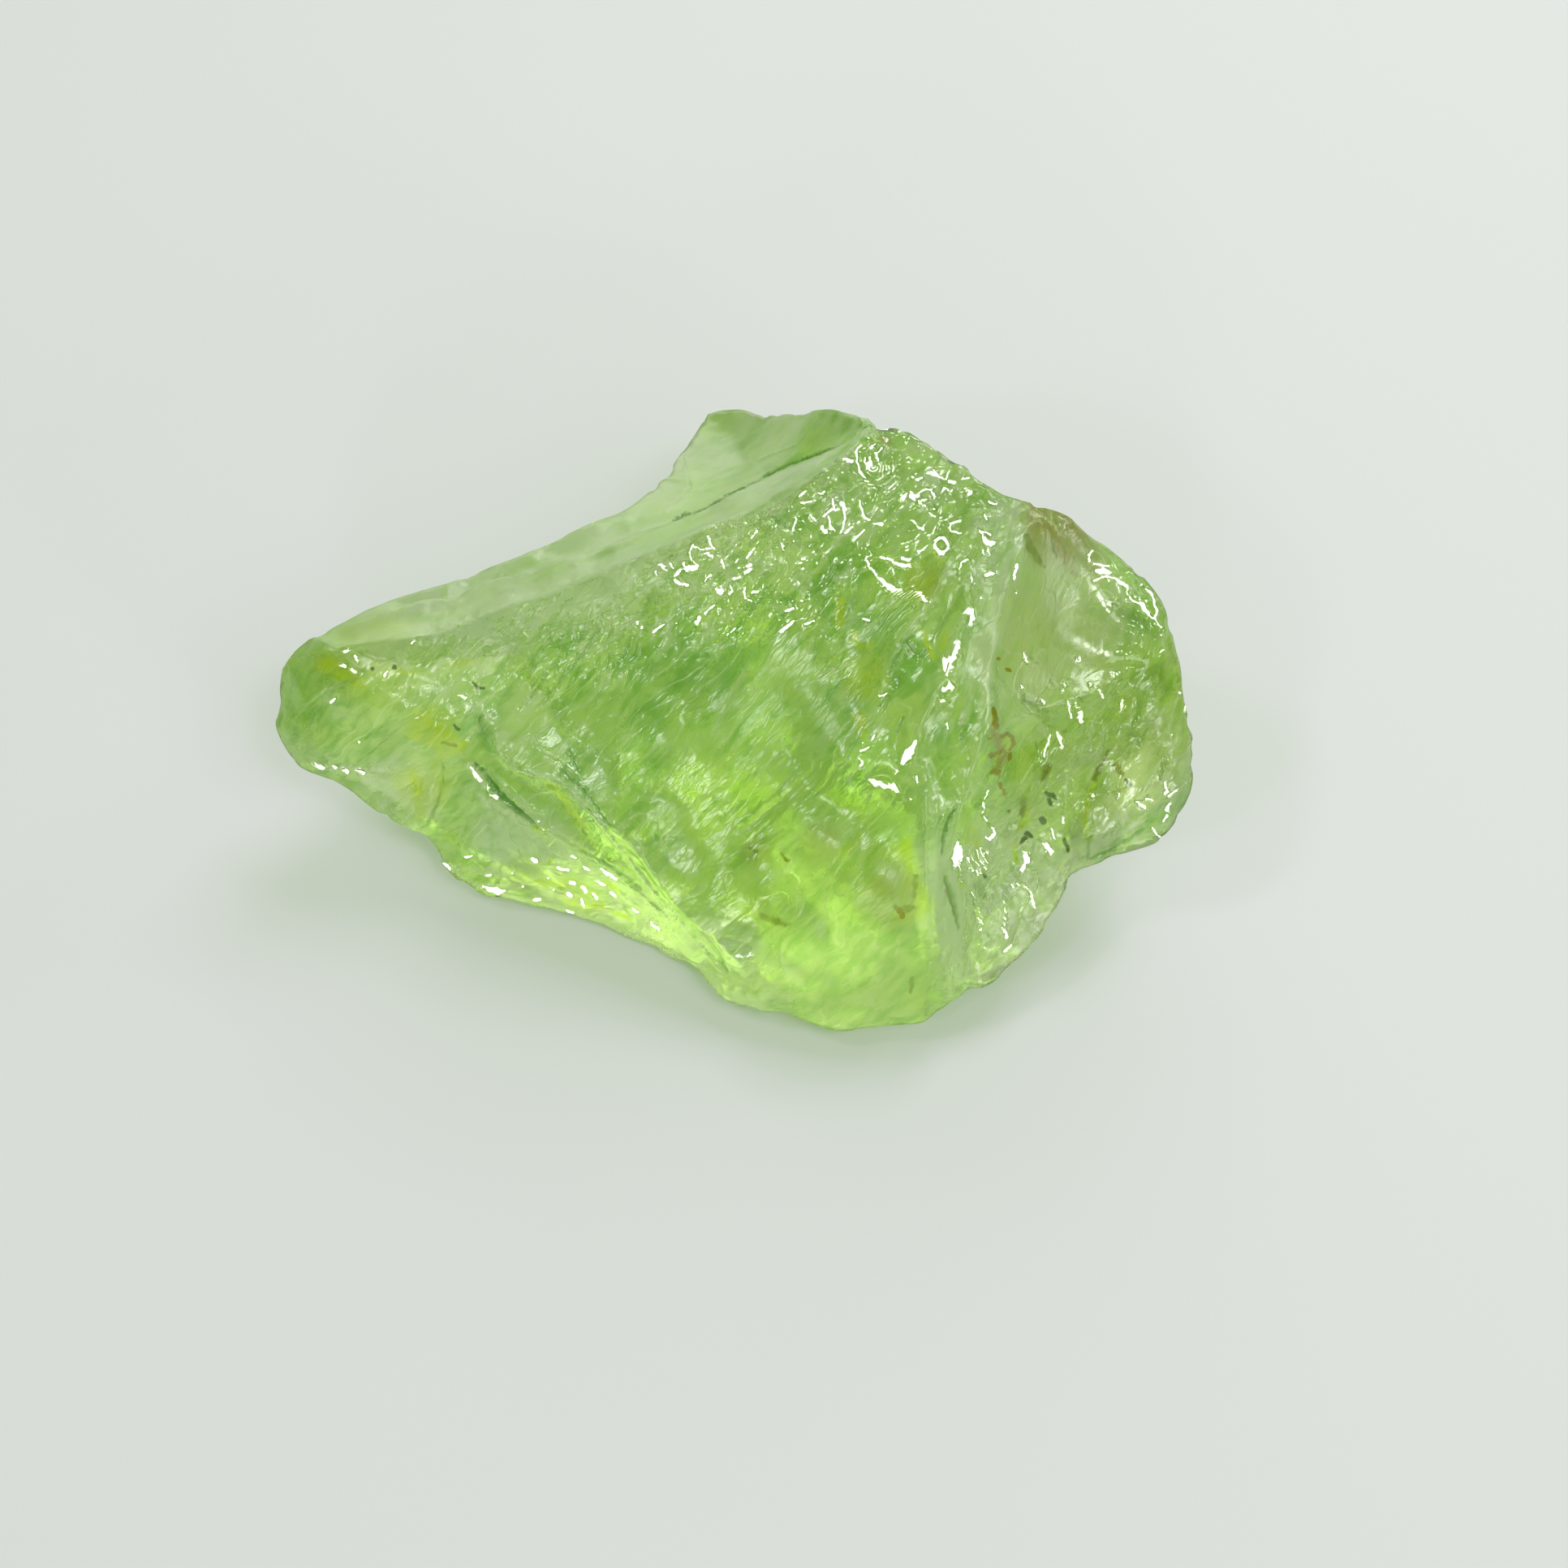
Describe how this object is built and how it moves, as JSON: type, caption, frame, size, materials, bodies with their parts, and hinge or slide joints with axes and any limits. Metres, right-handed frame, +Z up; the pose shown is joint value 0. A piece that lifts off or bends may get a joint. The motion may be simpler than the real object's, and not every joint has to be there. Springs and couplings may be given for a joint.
{
  "type": "rough garnet crystal",
  "caption": "Irregular rough piece of clear green garnet, blunt at one end and lobed at the other, with fracture faces that meet along ridges, lying on a flat sole.",
  "frame": {"origin": "middle of the bounding box, on the plane that the stone lies on", "axes": "+X along the stone's length from the blunt nose to the lobed end, +Y to the back, away from the toe, +Z up"},
  "size_m": [0.0098, 0.0068, 0.004],
  "materials": {
    "garnet": "glossy fracture surface"
  },
  "bodies": {
    "root": {"tsavorite_garnet": "garnet"}
  },
  "joints": []
}
